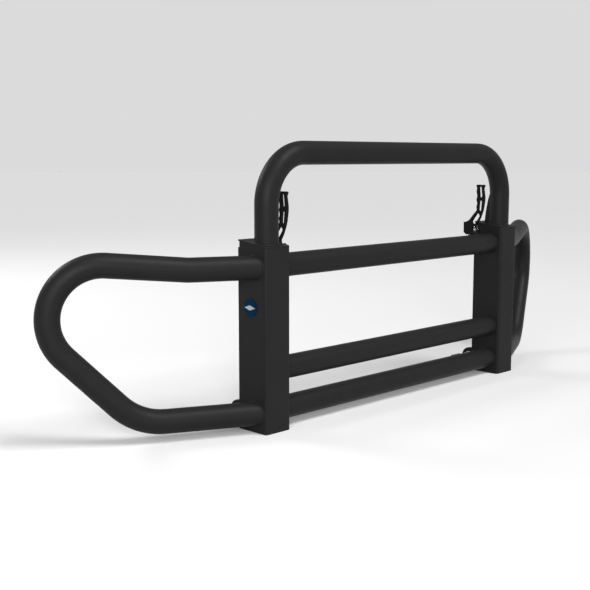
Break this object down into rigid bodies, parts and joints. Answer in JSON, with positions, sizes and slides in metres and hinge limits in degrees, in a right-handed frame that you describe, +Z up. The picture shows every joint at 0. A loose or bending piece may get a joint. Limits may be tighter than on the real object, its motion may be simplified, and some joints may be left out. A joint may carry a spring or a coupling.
{
  "type": "front grille guard",
  "caption": "Fold-down tubular grille guard with a hoop, cross tubes and swept wing loops on box uprights, hinged at the feet and held by slam-latch levers.",
  "frame": {"origin": "bottom centre of the whole guard's box: midway between the wings, midway front to back, at the foot of the uprights", "axes": "+X to the right when facing the guard from in front, +Y back towards the truck, +Z up"},
  "size_m": [2.5806, 0.3628, 0.9106],
  "materials": {
    "frame_black": "satin powder coat, fine texture",
    "latch_black": "satin black coating over a casting",
    "arm_black": "matt black paint",
    "zinc_steel": "zinc plated",
    "spring_steel": "oiled spring steel",
    "bush_bronze": "turned bronze",
    "badge_blue": "gloss enamel",
    "badge_pale": "gloss enamel"
  },
  "bodies": {
    "truck_arms": {"left_hinge_arm": "arm_black", "left_pivot_bush": "bush_bronze", "left_thrust_washers": "bush_bronze", "right_hinge_arm": "arm_black", "right_pivot_bush": "bush_bronze", "right_thrust_washers": "bush_bronze"},
    "guard_frame": {"upper_cross_tube": "frame_black", "middle_cross_tube": "frame_black", "lower_cross_tube": "frame_black", "hoop_tube": "frame_black", "left_wing_tube": "frame_black", "left_upright": "frame_black", "left_top_cap": "frame_black", "left_rear_plate": "frame_black", "left_outer_pivot_lug": "frame_black", "left_inner_pivot_lug": "frame_black", "left_hoop_gusset": "frame_black", "left_latch_bracket": "frame_black", "left_latch_pivot_pin": "zinc_steel", "left_latch_pin_clips": "spring_steel", "left_latch_spring": "spring_steel", "left_pivot_bolt": "zinc_steel", "left_pivot_nut": "zinc_steel", "left_pivot_washers": "zinc_steel", "right_wing_tube": "frame_black", "right_upright": "frame_black", "right_top_cap": "frame_black", "right_rear_plate": "frame_black", "right_outer_pivot_lug": "frame_black", "right_inner_pivot_lug": "frame_black", "right_hoop_gusset": "frame_black", "right_latch_bracket": "frame_black", "right_latch_pivot_pin": "zinc_steel", "right_latch_pin_clips": "spring_steel", "right_latch_spring": "spring_steel", "right_pivot_bolt": "zinc_steel", "right_pivot_nut": "zinc_steel", "right_pivot_washers": "zinc_steel", "badge_disc": "badge_blue", "badge_lozenge": "badge_pale"},
    "left_lever": {"left_latch_lever": "latch_black"},
    "right_lever": {"right_latch_lever": "latch_black"}
  },
  "joints": [
    {"name": "guard_tilt", "type": "hinge", "parent": "truck_arms", "child": "guard_frame", "pos_m": [0, -0.03642, 0.054], "axis": [1, 0, 0], "range_deg": [0, 85]},
    {"name": "left_latch_pull", "type": "hinge", "parent": "guard_frame", "child": "left_lever", "pos_m": [-0.542, -0.09842, 0.577], "axis": [1, 0, 0], "range_deg": [0, 45], "stiffness_Nm_per_rad": 2, "springref_deg": -20.05},
    {"name": "right_latch_pull", "type": "hinge", "parent": "guard_frame", "child": "right_lever", "pos_m": [0.542, -0.09842, 0.577], "axis": [1, 0, 0], "range_deg": [0, 45], "stiffness_Nm_per_rad": 2, "springref_deg": -20.05}
  ]
}
